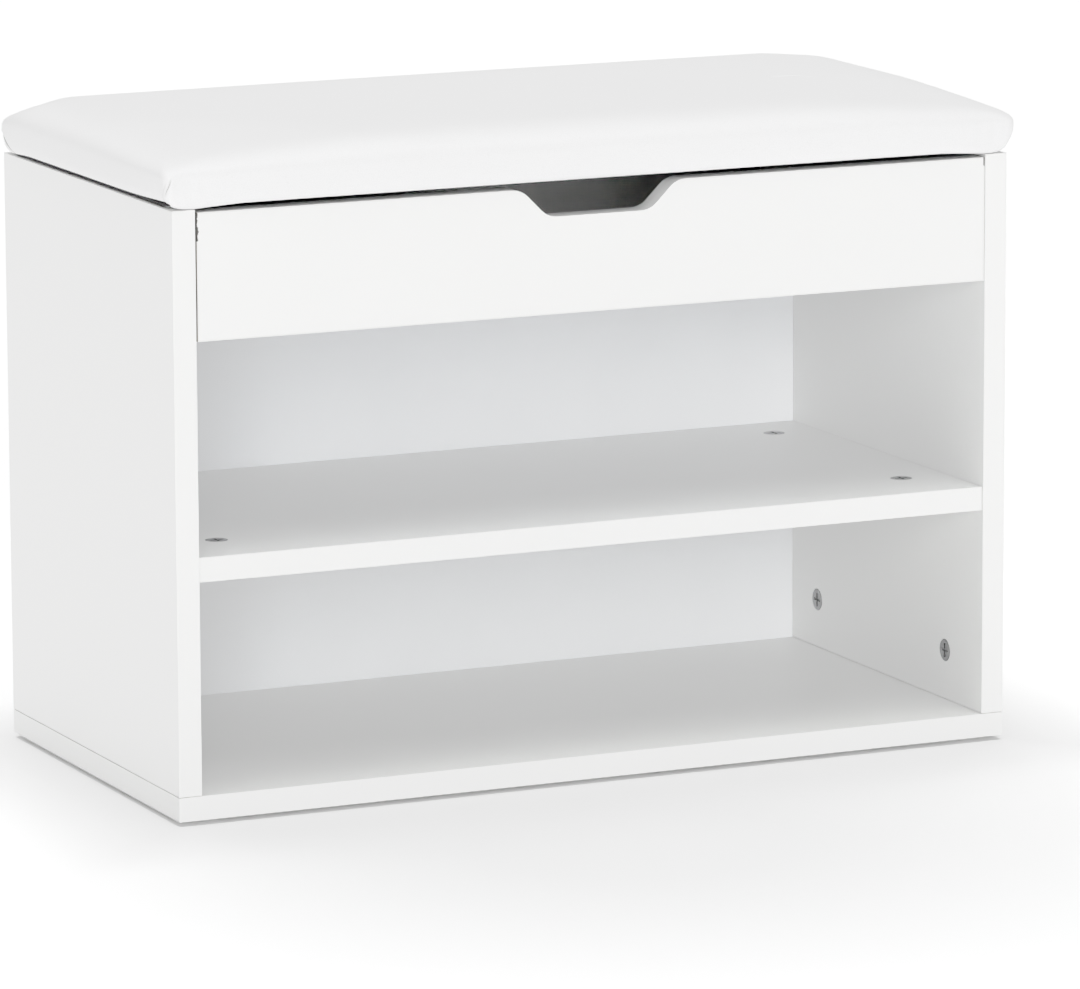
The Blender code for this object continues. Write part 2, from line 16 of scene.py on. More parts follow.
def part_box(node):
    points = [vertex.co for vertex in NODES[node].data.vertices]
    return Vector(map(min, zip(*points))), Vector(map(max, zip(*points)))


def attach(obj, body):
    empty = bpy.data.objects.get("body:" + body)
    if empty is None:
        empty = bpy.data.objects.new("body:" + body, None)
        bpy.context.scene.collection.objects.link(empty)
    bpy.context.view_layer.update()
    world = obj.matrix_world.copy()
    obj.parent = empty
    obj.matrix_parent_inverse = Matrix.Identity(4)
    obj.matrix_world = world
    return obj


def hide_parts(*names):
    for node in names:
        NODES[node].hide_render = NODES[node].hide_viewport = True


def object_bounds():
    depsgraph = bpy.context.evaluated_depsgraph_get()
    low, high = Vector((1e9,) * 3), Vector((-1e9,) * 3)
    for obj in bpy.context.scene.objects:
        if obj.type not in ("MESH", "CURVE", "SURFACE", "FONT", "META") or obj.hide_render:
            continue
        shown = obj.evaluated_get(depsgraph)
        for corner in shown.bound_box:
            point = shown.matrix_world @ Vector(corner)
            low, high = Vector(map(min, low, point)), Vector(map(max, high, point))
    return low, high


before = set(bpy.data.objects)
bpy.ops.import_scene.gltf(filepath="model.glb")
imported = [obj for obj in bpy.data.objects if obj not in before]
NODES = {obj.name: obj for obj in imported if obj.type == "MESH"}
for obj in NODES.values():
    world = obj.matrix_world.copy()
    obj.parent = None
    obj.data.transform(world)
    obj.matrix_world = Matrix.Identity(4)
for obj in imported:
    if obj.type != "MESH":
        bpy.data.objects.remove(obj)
CAD_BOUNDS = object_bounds()

# Picture
CAMERA_AZIMUTH = math.radians(24.725)
CAMERA_ELEVATION = math.radians(10.673)
CAMERA_ROLL = math.radians(-0.225)
CAMERA_DISTANCE = 4.9734
CAMERA_LENS = 246.36
CAMERA_TARGET = Vector((0.0169, -0.0182, 0.1696))
TONE_CURVE = ((0, 0), (0.012, 0.006), (0.036, 0.08), (0.115, 0.285), (0.23, 0.472), (0.385, 0.586),
              (0.577, 0.778), (0.77, 0.86), (1, 1))
FLOOR_HALF = 25.0
# The floor's painted glow, its reach from the painted shadow's middle, and its clearance round the bench.
FLOOR_GLOW = (0.03, 0.225)
FLOOR_GLOW_REACH = (0.1, 0.42)
FLOOR_GLOW_CLEARANCE = 0.1
SHADOW_MIDDLE_X = -0.05
SKY_STRENGTH = 0.085

# Boards
EDGE_RADIUS = 0.0005
BAND_LINE = 0.0007
BAND_LINE_WIDTH = 0.00022
# The front panel's chip, and the small nearly black strip at its top right corner.
CHIP_DEPTH = 0.0013
CHIP_LENGTH = 0.0185
DARK_CORNER_WIDTH = 0.0009
DARK_CORNER_LENGTH = 0.0055

# Seat. Corners are numbered back right, back left, front left, front right.
CORNER_RADII = (0.020, 0.020, 0.008, 0.010)
CORNER_OPENING = 0.6
UNDER_TURN = 0.0045
ROLL = 0.045
ROLL_FULLNESS = 3.0
CROWN = 0.0018
HEM_REACH = 0.042
HEM_THICKNESS = 0.0009
FINE_ZONE = 0.040
FINE_STEP = 0.0007
COARSE_STEP = 0.009
ARC_STEPS = 30
SIDE_STEPS = 30
ROLL_STEPS = 30
TOP_STEPS = 12

# The simulation that swells the pad
VOXEL = 0.007
PRESSURE = 0.5
SWELL_FRAMES = 11
SWELL_BLUR = 0.010

# How the cover is pulled in and down at the corners
CORNER_FALL = 0.0085
FRONT_FALL_REACH = 0.150
BACK_FALL_REACH = 0.057
FRONT_DRAW_IN = 0.0024
HEM_DRAW_IN = 0.7
BACK_DRAW_IN = 0.0029
DRAW_IN_REACH = 0.035

# Folds. Their places are ways along the outline from the corner, and heights above the seat's underside.
CREASE_FOOT = -0.0036
CREASE_LEAN = 0.0080
CREASE_TOP = 0.019
CREASE_DEPTH = 0.0006
CREASE_WIDTH = 0.0005
PLEAT_STEP = 0.0010
PLEAT_LENGTH = 0.010
RIGHT_CREASE_ROUND = 0.014
BACK_FOLD = ((-0.004, 0.0165), (0.0071, 0.0150), (0.0143, 0.0125), (0.0192, 0.0099), (0.0239, 0.0056),
             (0.0294, 0.0012), (0.0330, -0.0010))
BACK_LIP = 0.0003
BACK_TUCK = 0.0006
# The painted shade below the back fold: its band's height, and how much more it gets where the fold is steep.
FOLD_SHADE = 0.0012
FOLD_SHADE_GAIN = 0.0058
RIPPLE = 0.00028
RIPPLE_PITCH = 0.0105

# The cover's lower edge
FRONT_RISE = 0.0009
END_RISE = 0.0028
FRONT_HANG = 0.0017
BACK_HANG = -0.0004
FRONT_HANG_FROM = 0.016
BACK_HANG_FROM = 0.020
HANG_LENGTH = 0.042

# Lining under the seat. Its black edge reaches into the gap under the seat's edge, where it also stands in for
# that gap's shade.
LINING_MARGIN = 0.0092
LINING_CORNER = 0.012
LINING_THICKNESS = 0.0003
STAPLE_PITCH = 0.045
STAPLE_LENGTH = 0.010
STAPLE_WIDTH = 0.0012
STAPLE_HEIGHT = 0.0004
STAPLE_INSET = 0.007
STAPLE_CLEARANCE = 0.012

BOARDS = ("bottom_panel", "left_side_panel", "right_side_panel", "middle_shelf", "front_panel", "rear_rail")
SHEETS = ("back_panel", "compartment_floor")


# ---- Node materials ----------------------------------------------------------------------------

class Finish:
    """A Principled material being put together from nodes, on coordinates that stay with its object."""

    def __init__(self, name, colour, roughness, metallic=0.0, **sockets):
        self.material = bpy.data.materials.new(name)
        self.material.use_nodes = True
        self.tree = self.material.node_tree
        self.shader = self.tree.nodes["Principled BSDF"]
        values = {"Base Color": (*colour, 1.0), "Roughness": roughness, "Metallic": metallic}
        values.update({key.replace("_", " ").title(): value for key, value in sockets.items()})
        for socket, value in values.items():
            self.shader.inputs[socket].default_value = value
        self.place = self.node("ShaderNodeTexCoord").outputs["Object"]

    @classmethod
    def over(cls, material):
        """A Finish that adds to a material that is already made."""
        finish = cls.__new__(cls)
        finish.material = material
        finish.tree = material.node_tree
        finish.shader = finish.tree.nodes["Principled BSDF"]
        finish.place = finish.node("ShaderNodeTexCoord").outputs["Object"]
        return finish

    def node(self, kind, inputs=(), **settings):
        made = self.tree.nodes.new(kind)
        for key, value in settings.items():
            setattr(made, key, value)
        for key, value in dict(inputs).items():
            self.feed(made.inputs[key], value)
        return made

    def feed(self, socket, value):
        if isinstance(value, bpy.types.NodeSocket):
            self.tree.links.new(value, socket)
        else:
            socket.default_value = value

    def math(self, operation, first, second=0.0, clamp=False):
        node = self.node("ShaderNodeMath", {0: first, 1: second}, operation=operation, use_clamp=clamp)
        return node.outputs[0]

    def least(self, values):
        result = values[0]
        for value in values[1:]:
            result = self.math("MINIMUM", result, value)
        return result

    def noise(self, size, detail=2.0, roughness=0.5, stretch=(1, 1, 1)):
        """Noise from 0 to 1 whose features are about size across."""
        stretched = self.node("ShaderNodeVectorMath", {0: self.place, 1: stretch}, operation="MULTIPLY")
        inputs = {"Vector": stretched.outputs[0], "Scale": 1 / size, "Detail": detail, "Roughness": roughness}
        return self.node("ShaderNodeTexNoise", inputs).outputs["Fac"]

    def cells(self, size, feature="F1", randomness=1.0):
        inputs = {"Vector": self.place, "Scale": 1 / size, "Randomness": randomness}
        return self.node("ShaderNodeTexVoronoi", inputs, feature=feature).outputs["Distance"]

    def spread(self, value, low, high, out_low=0.0, out_high=1.0):
        """Maps value's range low to high onto out_low to out_high, and stops at both ends."""
        inputs = {0: value, 1: low, 2: high, 3: out_low, 4: out_high}
        return self.node("ShaderNodeMapRange", inputs).outputs[0]

    def mix(self, share, first, second):
        node = self.node("ShaderNodeMix", {"Factor": share}, data_type="RGBA")
        self.feed(node.inputs[6], first)
        self.feed(node.inputs[7], second)
        return node.outputs[2]

    def colour(self, value):
        self.feed(self.shader.inputs["Base Color"], value)

    def roughness(self, value):
        self.feed(self.shader.inputs["Roughness"], value)

    def bump(self, height, depth, strength=1.0):
        """Adds relief: height runs from 0 to 1 and stands for depth."""
        inputs = {"Height": height, "Distance": depth, "Strength": strength}
        below = self.shader.inputs["Normal"].links
        if below:
            inputs["Normal"] = below[0].from_socket
        self.feed(self.shader.inputs["Normal"], self.node("ShaderNodeBump", inputs).outputs["Normal"])


def shade(colour, factor):
    return (*[part * factor for part in colour], 1.0)


def edge_line(finish, low, high):
    """1 along the joint line between a board's faces and its edge bands, and 0 elsewhere."""
    split = finish.node("ShaderNodeSeparateXYZ", {0: finish.place}).outputs
    normal = finish.node("ShaderNodeTexCoord").outputs["Normal"]
    normal = finish.node("ShaderNodeSeparateXYZ", {0: normal}).outputs
    size = high - low
    thin = min(range(3), key=lambda axis: size[axis])
    gaps = []
    for axis in (axis for axis in range(3) if axis != thin):
        gaps.append(finish.math("SUBTRACT", split[axis], low[axis]))
        gaps.append(finish.math("SUBTRACT", high[axis], split[axis]))
    off_line = finish.math("ABSOLUTE", finish.math("SUBTRACT", finish.least(gaps), BAND_LINE))
    line = finish.spread(off_line, 0.0, BAND_LINE_WIDTH, 1.0, 0.0)
    facing = finish.math("GREATER_THAN", finish.math("ABSOLUTE", normal[thin]), 0.8)
    return finish.math("MULTIPLY", line, facing)


def melamine(name, low, high):
    """White melamine-faced board: satin pearl texture, faint cloudiness, and the edge bands' joint lines."""
    white = (0.83, 0.832, 0.822)
    finish = Finish(name + "_melamine", white, 0.36)
    cloud = finish.noise(0.09, 3.0)
    pearl = finish.noise(0.0011, 2.0, 0.6)
    line = edge_line(finish, low, high)
    toned = finish.mix(cloud, shade(white, 0.985), shade(white, 1.01))
    finish.colour(finish.mix(finish.math("MULTIPLY", line, 0.45), toned, (0.55, 0.54, 0.51, 1)))
    uneven = finish.math("ADD", pearl, finish.math("MULTIPLY", line, 0.5))
    finish.roughness(finish.spread(uneven, 0.2, 0.9, 0.3, 0.46))
    finish.bump(pearl, 0.00003, 0.6)
    finish.bump(line, 0.0001, 0.5)
    return finish.material


def chipped_melamine(name, low, high):
    """The front panel's board: its left edge chipped to the core along its top end, and a small dark strip at
    its top right corner.
    """
    material = melamine(name, low, high)
    finish = Finish.over(material)
    across, _, up = finish.node("ShaderNodeSeparateXYZ", {0: finish.place}).outputs
    ragged = finish.noise(0.004, 3.0, 0.7, (1, 0, 1))
    depth = finish.spread(ragged, 0.35, 0.7, 0.0, CHIP_DEPTH)
    from_edge = finish.math("SUBTRACT", across, low.x + EDGE_RADIUS)
    chipped = finish.math("LESS_THAN", from_edge, depth)
    near_top = finish.math("GREATER_THAN", up, high.z - CHIP_LENGTH)
    dark_corner = finish.math("MULTIPLY", finish.math("GREATER_THAN", across, high.x - DARK_CORNER_WIDTH),
                              finish.math("GREATER_THAN", up, high.z - DARK_CORNER_LENGTH))
    chip = finish.math("MAXIMUM", finish.math("MULTIPLY", chipped, near_top), dark_corner)
    board_colour = finish.shader.inputs["Base Color"].links[0].from_socket
    # The left end face is raw board, painted darker than raw board as painted shade in the narrow gap beside
    # the side panel.
    shaded_raw_end = finish.math("LESS_THAN", from_edge, -0.0002)
    ended = finish.mix(shaded_raw_end, board_colour, (0.16, 0.145, 0.12, 1))
    # The chip and the corner strip are painted nearly black: for the chip, the board's core with painted shade
    # in its hollow.
    finish.colour(finish.mix(chip, ended, (0.035, 0.032, 0.028, 1)))
    finish.bump(finish.math("SUBTRACT", 1.0, chip), 0.0004, 0.8)
    return material


def hardboard():
    """Thin lacquered fibreboard: a bluish white coat over a faint fibre pattern."""
    white = (0.80, 0.81, 0.825)
    finish = Finish("lacquered_hardboard", white, 0.42)
    fibre = finish.noise(0.0016, 4.0, 0.65, (1, 1, 0.35))
    cloud = finish.noise(0.05, 3.0)
    finish.colour(finish.mix(cloud, shade(white, 0.975), shade(white, 1.01)))
    finish.roughness(finish.spread(fibre, 0.3, 0.7, 0.36, 0.52))
    finish.bump(fibre, 0.00004, 0.5)
    return finish.material


def leatherette():
    """White artificial leather: pebbled grain with painted shade in the creases between the pebbles, painted
    shade along the seat's folds, and a soft coated sheen.
    """
    white = (0.825, 0.825, 0.827)
    finish = Finish("leatherette_grain", white, 0.46, coat_weight=0.06, coat_roughness=0.35)
    pebble = finish.cells(0.0012, "DISTANCE_TO_EDGE")
    valley = finish.spread(pebble, 0.0, 0.12)
    fine = finish.noise(0.0005, 3.0, 0.6)
    cloud = finish.noise(0.06, 3.0)
    toned = finish.mix(cloud, shade(white, 0.985), shade(white, 1.012))
    # Painted shade: the valleys between the pebbles are a little darker.
    valley_shaded = finish.mix(valley, shade(white, 0.94), toned)
    # Painted shade: the seat's creases and the band below the back fold are darkened towards near black.
    crease = finish.node("ShaderNodeAttribute", attribute_name="painted_fold_shade").outputs["Fac"]
    finish.colour(finish.mix(finish.math("MULTIPLY", crease, 0.85), valley_shaded, (0.16, 0.155, 0.15, 1)))
    finish.roughness(finish.spread(finish.math("ADD", fine, valley), 0.4, 1.6, 0.56, 0.42))
    finish.bump(valley, 0.00006, 0.45)
    finish.bump(fine, 0.00003, 0.35)
    return finish.material


def metal(name, colour, low_rough, high_rough, grain, depth, stretch=(1, 1, 1)):
    """Bare or plated metal: cast or rolled relief, uneven polish and a little dulling."""
    finish = Finish(name, colour, low_rough, 1.0)
    relief = finish.noise(grain, 3.0, 0.6, stretch)
    stain = finish.noise(grain * 9, 3.0)
    finish.colour(finish.mix(stain, shade(colour, 0.8), shade(colour, 1.1)))
    finish.roughness(finish.spread(finish.math("ADD", relief, stain), 0.6, 1.4, low_rough, high_rough))
    finish.bump(relief, depth, 0.7)
    return finish.material


def fibreboard():
    brown = (0.43, 0.31, 0.19)
    finish = Finish("raw_fibreboard", brown, 0.82)
    fibre = finish.noise(0.0012, 5.0, 0.7, (0.4, 1, 1))
    finish.colour(finish.mix(fibre, shade(brown, 0.6), shade(brown, 1.35)))
    finish.bump(fibre, 0.00015, 0.6)
    return finish.material


def nonwoven():
    """Spun lining cloth: short crossed fibres with a grid of pressed points."""
    dark = (0.013, 0.0132, 0.015)
    finish = Finish("spun_lining", dark, 0.88, sheen_weight=0.1, sheen_roughness=0.5)
    along = finish.noise(0.0009, 4.0, 0.7, (0.25, 1, 1))
    across = finish.noise(0.0009, 4.0, 0.7, (1, 0.25, 1))
    fibres = finish.math("MAXIMUM", along, across)
    dots = finish.spread(finish.cells(0.0018, "F1", 0.0), 0.12, 0.3)
    finish.colour(finish.mix(fibres, shade(dark, 0.5), shade(dark, 2.6)))
    finish.bump(fibres, 0.0001, 0.6)
    finish.bump(dots, 0.0001, 0.5)
    return finish.material


def moulded_plastic(name, colour, roughness, **sockets):
    finish = Finish(name, colour, roughness, **sockets)
    grain = finish.noise(0.0006, 2.0)
    finish.roughness(finish.spread(grain, 0.3, 0.7, roughness - 0.06, roughness + 0.08))
    finish.bump(grain, 0.00002, 0.5)
    return finish.material


def beech():
    tan = (0.6, 0.42, 0.25)
    finish = Finish("beech_dowel", tan, 0.7)
    grain = finish.noise(0.0012, 4.0, 0.6, (1, 1, 0.08))
    finish.colour(finish.mix(grain, shade(tan, 0.7), shade(tan, 1.2)))
    finish.bump(grain, 0.0001, 0.5)
    return finish.material


def foam():
    cream = (0.84, 0.8, 0.6)
    finish = Finish("open_foam", cream, 0.95)
    pores = finish.cells(0.0011)
    finish.colour(finish.mix(finish.spread(pores, 0.2, 0.8), shade(cream, 1.0), shade(cream, 0.7)))
    finish.bump(pores, 0.0003, 0.6)
    return finish.material


def dress(node, material):
    """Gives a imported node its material."""
    slots = NODES[node].material_slots
    for slot in slots:
        slot.material = material
    if not slots:
        NODES[node].data.materials.append(material)


def ease_edges(node, radius, segments=2):
    """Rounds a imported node's sharp edges by modifiers, and leaves its mesh as it is."""
    item = NODES[node]
    weld = item.modifiers.new("join_facets", "WELD")
    weld.merge_threshold = 0.00001
    ease = item.modifiers.new("eased_edges", "BEVEL")
    ease.width = radius
    ease.segments = segments
    ease.limit_method = "ANGLE"
    ease.angle_limit = math.radians(40)
    ease.harden_normals = True
    ease.use_clamp_overlap = True


def dress_carcass():
    for name in BOARDS:
        board = chipped_melamine if name == "front_panel" else melamine
        dress(name, board(name, *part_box(name)))
        ease_edges(name, EDGE_RADIUS)
    coat = hardboard()
    for name in SHEETS:
        dress(name, coat)


def dress_hardware():
    zinc = metal("cast_zinc", (0.26, 0.26, 0.26), 0.3, 0.5, 0.0009, 0.00005)
    steel = metal("plated_steel", (0.34, 0.34, 0.33), 0.22, 0.42, 0.0014, 0.00002, (1, 0.2, 1))
    plastic = moulded_plastic("glide_plastic", (0.78, 0.78, 0.77), 0.42)
    bumper = moulded_plastic("soft_bumper", (0.68, 0.7, 0.7), 0.3, transmission_weight=0.4)
    wood = beech()
    finishes = {"cam_": zinc, "bolt_": steel, "hinge_": steel, "rail_screw_": steel, "lid_screw_": steel,
                "glide_": plastic, "bumper_": bumper, "dowel_": wood}
    for name in NODES:
        for start, finish in finishes.items():
            if name.startswith(start):
                dress(name, finish)
    for name in NODES:
        if name.startswith(("cam_", "hinge_frame", "hinge_lid")):
            ease_edges(name, 0.0002)
    dress("seat_board", fibreboard())
    dress("seat_foam", foam())
    dress("dust_cover", nonwoven())


# ---- Seat --------------------------------------------------------------------------------------

SEAT_LOW, SEAT_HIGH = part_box("seat_cover")
SEAT_HALF = (SEAT_HIGH - SEAT_LOW) / 2
UNDERSIDE = SEAT_LOW.z
SHOULDER = UNDERSIDE + 0.0166


def spaced(length, fine_zone, fine, coarse):
    """Distances along a straight of this length, close together near both ends and wide in the middle."""
    zone = np.linspace(0, fine_zone, max(2, round(fine_zone / fine)) + 1)
    middle = np.linspace(fine_zone, length - fine_zone, max(2, round((length - 2 * fine_zone) / coarse)) + 1)
    return np.concatenate([zone, middle[1:-1], length - zone[::-1]])


def eased(value, low, high):
    """0 below low, 1 above high, and a smooth step between them."""
    share = np.clip((value - low) / (high - low), 0, 1)
    return share * share * (3 - 2 * share)


class Outline:
    """A rounded rectangle whose points keep their places as it is drawn in, ring by ring.

    Its corners are numbered back right, back left, front left, front right.
    """

    CORNERS = ((1, 1), (-1, 1), (-1, -1), (1, -1))

    def __init__(self, half, radii, fine_zone, fine, coarse, arc_steps):
        self.half = half
        self.radii = radii
        self.points = []
        for corner in range(4):
            length = 2 * (half[(corner + 1) % 2] - max(radii))
            run = spaced(length, fine_zone, fine, coarse)
            self.points += [(corner, "side", share) for share in run[:-1] / run[-1]]
            self.points += [(corner, "arc", step / arc_steps) for step in range(arc_steps)]

    def ring(self, inset):
        """The outline's points, drawn in by inset, as an array of x and y."""
        half_x, half_y = self.half[0] - inset, self.half[1] - inset
        radii = [min(radius + CORNER_OPENING * inset, half_y) for radius in self.radii]
        centres = []
        for radius, (x, y) in zip(radii, self.CORNERS):
            centres.append(((half_x - radius) * x, (half_y - radius) * y))
        found = []
        for corner, kind, share in self.points:
            turn = math.pi / 2 * (corner + (share if kind == "arc" else 0))
            out = np.array((math.cos(turn), math.sin(turn)))
            place = np.array(centres[corner]) + radii[corner] * out
            if kind == "side":
                start = np.array(centres[corner - 1]) + radii[corner - 1] * out
                place = start + (place - start) * share
            found.append(place)
        return np.array(found)

    def outward(self):
        turns = np.array([corner + (share if kind == "arc" else 0) for corner, kind, share in self.points])
        turns = turns * math.pi / 2
        return np.column_stack([np.cos(turns), np.sin(turns)])

    def from_corner(self, corner):
        """Each point's way round from this corner: above 0 on the long side, below 0 on the end."""
        ring = self.ring(0)
        steps = np.linalg.norm(np.roll(ring, -1, axis=0) - ring, axis=1)
        travel = np.concatenate([[0], np.cumsum(steps)])
        around = travel[-1]
        arc = [i for i, (at, kind, _) in enumerate(self.points) if at == corner and kind == "arc"]
        middle = travel[arc[len(arc) // 2]]
        away = (travel[:-1] - middle + around / 2) % around - around / 2
        return away if corner % 2 == 0 else -away


def side_profile(top, side_steps, roll_steps, top_steps):
    """(inset, height) pairs up the seat's side, over its roll and on to the middle of its top."""
    profile = []
    for t in np.linspace(0, 1, side_steps + 1)[:-1]:
        inset = UNDER_TURN * (1 - t) ** 3 + 3 * UNDER_TURN * 0.3 * t * (1 - t) ** 2
        rise = 3 * 0.36 * t * t * (1 - t) + t ** 3
        profile.append((inset, UNDERSIDE + (SHOULDER - UNDERSIDE) * rise))
    fullness = 2 / ROLL_FULLNESS
    for turn in np.linspace(0, math.pi / 2, roll_steps + 1):
        out, up = max(math.cos(turn), 0) ** fullness, math.sin(turn) ** fullness
        profile.append((ROLL * (1 - out), SHOULDER + (top - SHOULDER) * up))
    profile += [(inset, top) for inset in np.linspace(ROLL, SEAT_HALF.y, top_steps + 1)[1:]]
    return profile


def mesh_object(name, rings):
    """A closed piece through rings of equal counts of points. Points that meet in later rings are joined."""
    count, width = len(rings), len(rings[0])
    faces = []
    for near in range(0, (count - 1) * width, width):
        far = near + width
        for i in range(width):
            back = (i - 1) % width
            faces.append((near + back, near + i, far + i, far + back))
    faces.append(tuple(range(width))[::-1])
    mesh = bpy.data.meshes.new(name)
    mesh.from_pydata(np.concatenate(rings).tolist(), [], faces)
    bm = bmesh.new()
    bm.from_mesh(mesh)
    bm.verts.ensure_lookup_table()
    bmesh.ops.remove_doubles(bm, verts=bm.verts[count // 2 * width:], dist=1e-6)
    bmesh.ops.triangulate(bm, faces=[face for face in bm.faces if len(face.verts) > 4], ngon_method="BEAUTY")
    bm.to_mesh(mesh)
    bm.free()
    item = bpy.data.objects.new(name, mesh)
    bpy.context.scene.collection.objects.link(item)
    return item


def rings_of(outline, profile):
    return [np.column_stack([outline.ring(inset), np.full(len(outline.points), z)]) for inset, z in profile]


def vertices_of(mesh):
    points = np.empty(len(mesh.vertices) * 3, np.float32)
    mesh.vertices.foreach_get("co", points)
    return points.reshape(-1, 3).astype(float)


def evaluated_mesh(item):
    return item.evaluated_get(bpy.context.evaluated_depsgraph_get())


def swollen_pad():
    """The foam pressing out against its cover: a flat-topped pad that a cloth simulation inflates."""
    outline = Outline((SEAT_HALF.x, SEAT_HALF.y), CORNER_RADII, 0.02, 0.006, 0.015, 8)
    profile = [(HEM_REACH, UNDERSIDE)] + side_profile(SEAT_HIGH.z - CROWN, 10, 14, 12)
    pad = mesh_object("swelling", rings_of(outline, profile))
    remesh = pad.modifiers.new("even_mesh", "REMESH")
    remesh.mode = "VOXEL"
    remesh.voxel_size = VOXEL
    bpy.context.view_layer.update()
    even = bpy.data.meshes.new_from_object(evaluated_mesh(pad))
    pad.modifiers.clear()
    pad.data = even
    start = vertices_of(even)
    held = pad.vertex_groups.new(name="held")
    held.add([int(i) for i in np.nonzero(start[:, 2] < UNDERSIDE + 0.004)[0]], 1.0, "REPLACE")
    cloth = pad.modifiers.new("swell", "CLOTH").settings
    cloth.quality = 6
    cloth.mass = 0.3
    cloth.tension_stiffness = cloth.compression_stiffness = 60
    cloth.shear_stiffness = 30
    cloth.bending_stiffness = 0.5
    cloth.tension_damping = cloth.compression_damping = cloth.shear_damping = 10
    cloth.use_pressure = True
    cloth.uniform_pressure_force = PRESSURE
    cloth.vertex_group_mass = "held"
    cloth.effector_weights.gravity = 0
    for moment in range(1, SWELL_FRAMES + 1):
        bpy.context.scene.frame_set(moment)
    swollen = vertices_of(evaluated_mesh(pad).to_mesh())
    pad.modifiers.clear()
    bpy.context.scene.frame_set(1)
    return pad, start, swollen


def swell(grid):
    """Gives the fine grid the bulges that the simulation found, scaled to the crown's full height."""
    pad, start, swollen = swollen_pad()
    bpy.data.objects.remove(pad)
    move = swollen - start
    move *= CROWN / max(move[:, 2].max(), CROWN)
    for ring in grid:
        near = ((ring[:, None, :] - start[None, :, :]) ** 2).sum(axis=2)
        weight = np.exp(-near / (2 * SWELL_BLUR ** 2))
        push = weight @ move / np.maximum(weight.sum(axis=1, keepdims=True), 1e-12)
        ring += push * eased(ring[:, 2:] - UNDERSIDE, 0.001, 0.008)
    return grid


def smoothed(values, rounds):
    """Evens out numbers that stand round a ring."""
    for _ in range(rounds):
        values = values * 0.5 + (np.roll(values, 1) + np.roll(values, -1)) * 0.25
    return values


def draw_down(grid, outline, insets):
    """Pulls the pad in and down at its corners, where the cover is gathered tightest."""
    top = grid[:, :, 2].max()
    above = np.clip((grid[:, :, 2] - SHOULDER) / (top - SHOULDER), 0, 1)
    height = grid[:, :, 2] - UNDERSIDE
    tight = 1 + HEM_DRAW_IN * (1 - eased(height, 0.0, SHOULDER - UNDERSIDE))
    tight *= 1 - eased(insets, 0.012, 0.030)[:, None] * (above == 0)
    outward = outline.outward()
    fall = np.zeros_like(above)
    for corner, (x, y) in enumerate(Outline.CORNERS):
        away = np.hypot(grid[:, :, 0] - x * SEAT_HALF.x, grid[:, :, 1] - y * SEAT_HALF.y)
        if y < 0:
            fall = np.maximum(fall, np.clip(1 - away / FRONT_FALL_REACH, 0, 1) ** 1.3)
        else:
            fall = np.maximum(fall, 1 - eased(away, 0.010, BACK_FALL_REACH))
        gathered = np.exp(-(outline.from_corner(corner) / DRAW_IN_REACH) ** 2)[None, :]
        if y < 0:
            pull = FRONT_DRAW_IN * tight * (1 - above) * gathered
        else:
            pull = BACK_DRAW_IN * (1 - eased(above, 0.3, 1.0)) * gathered
        grid[:, :, :2] -= pull[:, :, None] * outward[None, :, :]
    grid[:, :, 2] -= CORNER_FALL * fall * above
    return grid


def front_pleat(away, height, round_end=0.0):
    """The front's cover lapped over the end's, with a crease that leans off the corner as it rises.

    round_end moves the crease onto the end by that much. This and back_pleat return how far the cover stands
    out, and how much painted shade it gets in a crease.
    """
    crease = CREASE_FOOT + CREASE_LEAN * eased(height, 0.004, CREASE_TOP)
    past = away + round_end - crease
    lap = eased(past, -0.00035, 0.00035) * np.exp(-np.maximum(past, 0) / PLEAT_LENGTH)
    tuck = np.exp(-((past + CREASE_WIDTH) / CREASE_WIDTH) ** 2)
    second = np.exp(-((past + 0.0045) / 0.0007) ** 2) * (1 - eased(height, 0.012, 0.018))
    fade = 1 - eased(height, CREASE_TOP - 0.004, CREASE_TOP + 0.002)
    return fade * (PLEAT_STEP * lap - CREASE_DEPTH * tuck - 0.0002 * second), fade * (tuck + 0.4 * second)


def back_pleat(away, height):
    """The end's cover folded under towards the back, with the back's cover set in and painted shade below the
    curved fold.
    """
    edge = np.interp(-away, *zip(*BACK_FOLD))
    below = edge - height
    on_end = (1 - eased(away, -0.010, 0.003)) * (1 - eased(-away, 0.030, 0.034))
    under = eased(below, -0.0002, 0.0006)
    lip = np.exp(-((below + 0.0009) / 0.0009) ** 2)
    # The shade's band is measured straight down, so it is wider where the fold runs down steeply.
    band = FOLD_SHADE + FOLD_SHADE_GAIN * eased(-away, 0.0, 0.016)
    shadow = eased(below, 0.0, 0.0008) * (1 - eased(below, 0.0008 + 0.25 * band, 0.0008 + band))
    return on_end * (BACK_LIP * lip - BACK_TUCK * under), on_end * shadow


def ripples(away, height):
    """Small gathers that run up from the hem near a corner and die out."""
    near = np.exp(-np.abs(away) / 0.026) * eased(np.abs(away), 0.006, 0.014)
    band = eased(height, 0.001, 0.008) * (1 - eased(height, 0.014, 0.026))
    return RIPPLE * near * band * np.sin(2 * math.pi * away / RIPPLE_PITCH + 40 * height)


def hem_drop(outline):
    """How far the cover's lower edge hangs below the underside: less along the sides, more at the corners."""
    drop = np.where(np.abs(outline.outward()[:, 0]) > 0.7, -END_RISE, -FRONT_RISE)
    for corner, (_, y) in enumerate(Outline.CORNERS):
        away = outline.from_corner(corner)
        if y < 0:
            held = 1 - np.clip((away - FRONT_HANG_FROM) / HANG_LENGTH, 0, 1)
            held = held ** 1.5 * eased(away, -0.006, 0.012)
            low = FRONT_HANG
        else:
            held = 1 - np.clip((-away - BACK_HANG_FROM) / HANG_LENGTH, 0, 1)
            held = held ** 1.5 * (1 - eased(away, 0.030, 0.060))
            low = BACK_HANG
        drop = drop + (low - drop) * held
    return smoothed(drop, 6)


